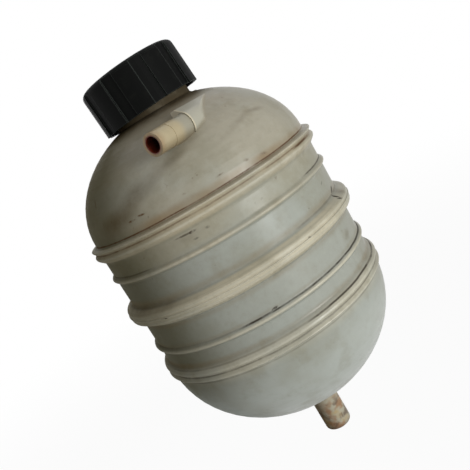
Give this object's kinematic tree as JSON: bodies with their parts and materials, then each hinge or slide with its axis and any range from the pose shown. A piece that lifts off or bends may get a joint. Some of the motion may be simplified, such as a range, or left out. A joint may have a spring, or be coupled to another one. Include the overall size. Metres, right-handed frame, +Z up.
{
  "type": "coolant expansion tank",
  "caption": "Ribbed round plastic coolant expansion tank with a leaning filler neck, screw-on pressure cap, bleed nipple and bottom outlet.",
  "frame": {"origin": "on the tank's axis, in the plane of the weld in the middle rib", "axes": "+Z up along the tank's axis towards the filler neck; -Y is the side with the bleed nipple"},
  "size_m": [0.1514, 0.1515, 0.2605],
  "materials": {
    "tank_plastic": "aged natural polypropylene, stained and scuffed",
    "cap_plastic": "satin black",
    "insert_plastic": "moulded, slightly yellowed",
    "seal_rubber": "matt",
    "spring_steel": "drawn wire"
  },
  "bodies": {
    "tank": {"upper_shell": "tank_plastic", "lower_shell": "tank_plastic"},
    "valve_insert": {"valve_housing": "insert_plastic", "housing_o_ring": "seal_rubber", "cap_gasket": "seal_rubber", "spring_plate": "insert_plastic", "pressure_spring": "spring_steel"},
    "cap": {"cap_cover": "cap_plastic"},
    "pressure_valve": {"pressure_plate": "insert_plastic", "disc_seal": "seal_rubber", "vacuum_spring": "spring_steel"},
    "vacuum_poppet": {"vacuum_valve": "insert_plastic", "vacuum_clip": "spring_steel"}
  },
  "joints": [
    {"name": "cap_rise", "type": "slide", "parent": "tank", "child": "valve_insert", "axis": [-0.0629, 0.0145, 0.9979], "range_m": [0, 0.008]},
    {"name": "cap_turn", "type": "hinge", "parent": "valve_insert", "child": "cap", "pos_m": [0, 0, 0.0963], "axis": [-0.0629, 0.0145, 0.9979], "range_deg": [0, 720]},
    {"name": "pressure_lift", "type": "slide", "parent": "valve_insert", "child": "pressure_valve", "axis": [-0.0629, 0.0145, 0.9979], "range_m": [0, 0.002], "stiffness_N_per_m": 3500, "springref_m": -0.01, "deforming": ["pressure_spring"]},
    {"name": "vacuum_open", "type": "slide", "parent": "pressure_valve", "child": "vacuum_poppet", "axis": [0.0629, -0.0145, -0.9979], "range_m": [0, 0.0015], "stiffness_N_per_m": 200, "springref_m": -0.006, "deforming": ["vacuum_spring"]}
  ],
  "couplings": [
    {"joint": "cap_rise", "follows": "cap_turn", "m_per_rad": 0.00063661}
  ]
}
